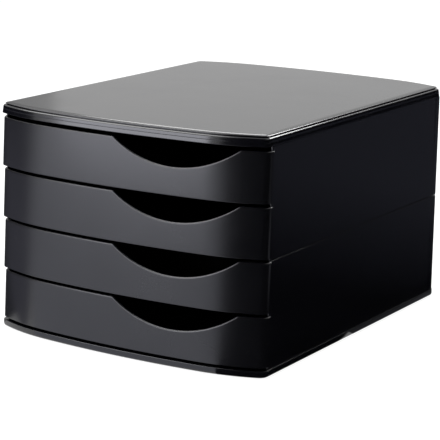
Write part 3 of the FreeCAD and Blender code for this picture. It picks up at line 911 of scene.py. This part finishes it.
# Cards: painted reflections that only the gloss sees. The black ones paint shade into it where the bright
# surroundings would show, and the glowing ones paint a dim light into it.
# Each has its radiance, where 1 is the white of the surroundings, its colour and its corners. A card that
# fades also has the stretch of Y over which it does, and its radiance at the stretch's start.
cards = {
    "floorCard": (0.0, "#ffffff", [(0.10, -0.185, 0.001), (-0.21, -2.55, 0.001), (2.4, -2.55, 0.001),
                                   (2.4, 2.4, 0.001), (0.15, 2.4, 0.001), (0.15, 0.0, 0.001)]),
    "frontFloorCard": (1.16, "#f0f2ff", [(-0.10, -0.185, 0.001), (0.10, -0.185, 0.001),
                                         (-0.21, -2.55, 0.001), (-2.4, -2.55, 0.001),
                                         (-2.4, -1.46, 0.001), (-2.13, -1.46, 0.001)]),
    "backFloorCard": (0.9, "#f0f2ff", [(-0.14, -0.16, 0.001), (0.15, 0.0, 0.001), (0.15, 2.4, 0.001),
                                       (-2.4, 2.4, 0.001), (-2.4, -1.46, 0.001), (-2.13, -1.46, 0.001)],
                      (0.1, 1.0, 0.10)),
    "leftFloorCard": (0.37, "#e8e8ff", [(-0.12, -0.185, 0.002), (-2.13, -1.46, 0.002),
                                        (-2.4, -0.4, 0.002)]),
    "stripCard": (0.42, "#f0f0ff", [(0.40, -0.06, 0.002), (2.4, 0.15, 0.002), (2.4, 1.24, 0.002),
                                    (0.40, 0.03, 0.002)]),
    "wallCard": (0.09, "#dfe3ff", [(0.16, 0.1, 0.003), (1.8, 0.1, 0.003), (1.8, 2.3, 0.003),
                                   (0.16, 2.3, 0.003)], (0.12, 0.6, 0.0)),
    "frontCard": (0.0, "#ffffff", [(-0.27, -2.55, 0.0), (2.4, -2.55, 0.0), (2.4, -2.55, 1.9),
                                   (-0.27, -2.55, 1.9)]),
    "ceilingCard": (0.0, "#ffffff", [(-0.32, -2.55, 1.9), (2.4, -2.55, 1.9), (2.4, -0.5, 1.9),
                                     (-0.38, -0.5, 1.9)]),
    "rightCard": (0.0, "#ffffff", [(2.4, -2.55, 0.0), (2.4, 2.4, 0.0), (2.4, 2.4, 1.6), (2.4, -2.55, 1.6)]),
    "backCard": (0.0, "#ffffff", [(2.4, 2.4, 0.0), (0.70, 2.4, 0.0), (0.70, 2.4, 1.6), (2.4, 2.4, 1.6)]),
    "leftCard": (0.0, "#ffffff", [(-1.8, -1.41, 0.0), (-2.0, 0.8, 0.0), (-2.0, 0.8, 0.9),
                                  (-1.8, -1.41, 0.9)]),
    "topLeftCard": (0.45, "#ffffff", [(-2.0, 0.8, 0.1), (-1.5, 1.7, 0.1), (-1.5, 1.7, 1.2),
                                      (-2.0, 0.8, 1.2)]),
    "topCard": (0.76, "#ffffff", [(-2.3, 1.6, 0.05), (-0.3, 2.6, 0.05), (-0.3, 2.6, 1.3),
                                  (-2.3, 1.6, 1.3)]),
}


def addCard(name, radiance, colour, corners, fade=None):
    material = bpy.data.materials.new(name)
    material.use_nodes = True
    tree = material.node_tree
    tree.nodes.clear()
    strength = radiance
    if fade:
        place = addNode(tree, "ShaderNodeTexCoord").outputs["Object"]
        along = addNode(tree, "ShaderNodeSeparateXYZ", {0: place}).outputs["Y"]
        strength = addNode(tree, "ShaderNodeMapRange", {"Value": along, "From Min": fade[0],
                                                        "From Max": fade[1], "To Min": fade[2],
                                                        "To Max": radiance}).outputs[0]
    glow = addNode(tree, "ShaderNodeEmission", {"Color": linearColour(colour), "Strength": strength})
    addNode(tree, "ShaderNodeOutputMaterial", {"Surface": glow.outputs[0]})
    card = addStage(name, corners, material)
    card.visible_camera = False
    card.visible_diffuse = False
    card.visible_shadow = False
    card.visible_transmission = False


for name, setting in cards.items():
    addCard(name, *setting)

# Soft boxes: place, aim, size and radiance, where a radiance of 1 looks white in a mirror
lamps = {
    "frontLeftBox": ((-0.77, -1.53, 0.48), (0, -0.18, 0.48), (0.92, 0.9), 4.8, "#f2f3ff"),
    "backBox": ((0.2, 1.4, 1.42), (0.05, 0, 0.2), (1.0, 0.5), 14.0, "#ffffff"),
    "backLeftBox": ((-0.91, 1.32, 1.18), (0.1, -0.15, 0.21), (0.6, 0.5), 2.8, "#ffffff"),
    "overheadBox": ((-0.8, -0.5, 1.4), (0, -0.1, 0.2), (1.1, 1.1), 5.5, "#ffffff"),
}


def addSoftBox(name, place, aim, size, radiance, colour):
    light = bpy.data.lights.new(name, "AREA")
    light.color = linearColour(colour)[:3]
    light.shape = "RECTANGLE"
    light.size, light.size_y = size
    light.energy = radiance * math.pi * size[0] * size[1]
    lamp = bpy.data.objects.new(name, light)
    lamp.location = place
    lamp.rotation_euler = (Vector(aim) - Vector(place)).to_track_quat("-Z", "Y").to_euler()
    scene.collection.objects.link(lamp)


for name, setting in lamps.items():
    addSoftBox(name, *setting)

# The surroundings: plain white where they are seen, half as strong where they only light the object
surroundings = {"colour": "#ffffff", "seen": 1.0, "light": 0.5}
world = bpy.data.worlds.new("studio")
scene.world = world
world.use_nodes = True
tree = world.node_tree
level = addNode(tree, "ShaderNodeMapRange", {"Value": seenDirectly(tree), "To Min": surroundings["light"],
                                             "To Max": surroundings["seen"]})
tree.links.new(level.outputs["Result"], tree.nodes["Background"].inputs["Strength"])
tree.nodes["Background"].inputs["Color"].default_value = linearColour(surroundings["colour"])

# The camera: angles in degrees, lens in mm, and its place in metres from the origin along its own axes
view = {
    "azimuth": 31.93,
    "pitch": 13.29,
    "roll": -0.944,
    "lens": 149.37,
    "sensor": 36.0,
    "distance": 1.76736,
    "right": 0.005171,
    "down": 0.087272,
    "drop": 0.0009,
}


def addCamera(s):
    azimuth, pitch, roll = (math.radians(s[key]) for key in ("azimuth", "pitch", "roll"))
    forward = Vector((-math.sin(azimuth) * math.cos(pitch), math.cos(azimuth) * math.cos(pitch),
                      -math.sin(pitch)))
    level = Vector((math.cos(azimuth), math.sin(azimuth), 0))
    across = forward.cross(level)
    right = level * math.cos(roll) + across * math.sin(roll)
    down = across * math.cos(roll) - level * math.sin(roll)
    place = -forward * s["distance"] - right * s["right"] - down * s["down"] - Vector((0, 0, s["drop"]))
    data = bpy.data.cameras.new("camera")
    data.lens = s["lens"]
    data.sensor_width = s["sensor"]
    camera = bpy.data.objects.new("camera", data)
    scene.collection.objects.link(camera)
    turn = Matrix((right, -down, -forward)).transposed().to_4x4()
    camera.matrix_world = Matrix.Translation(place) @ turn
    scene.camera = camera


addCamera(view)
scene.view_settings.view_transform = "Standard"
print("stage: lights and camera set")
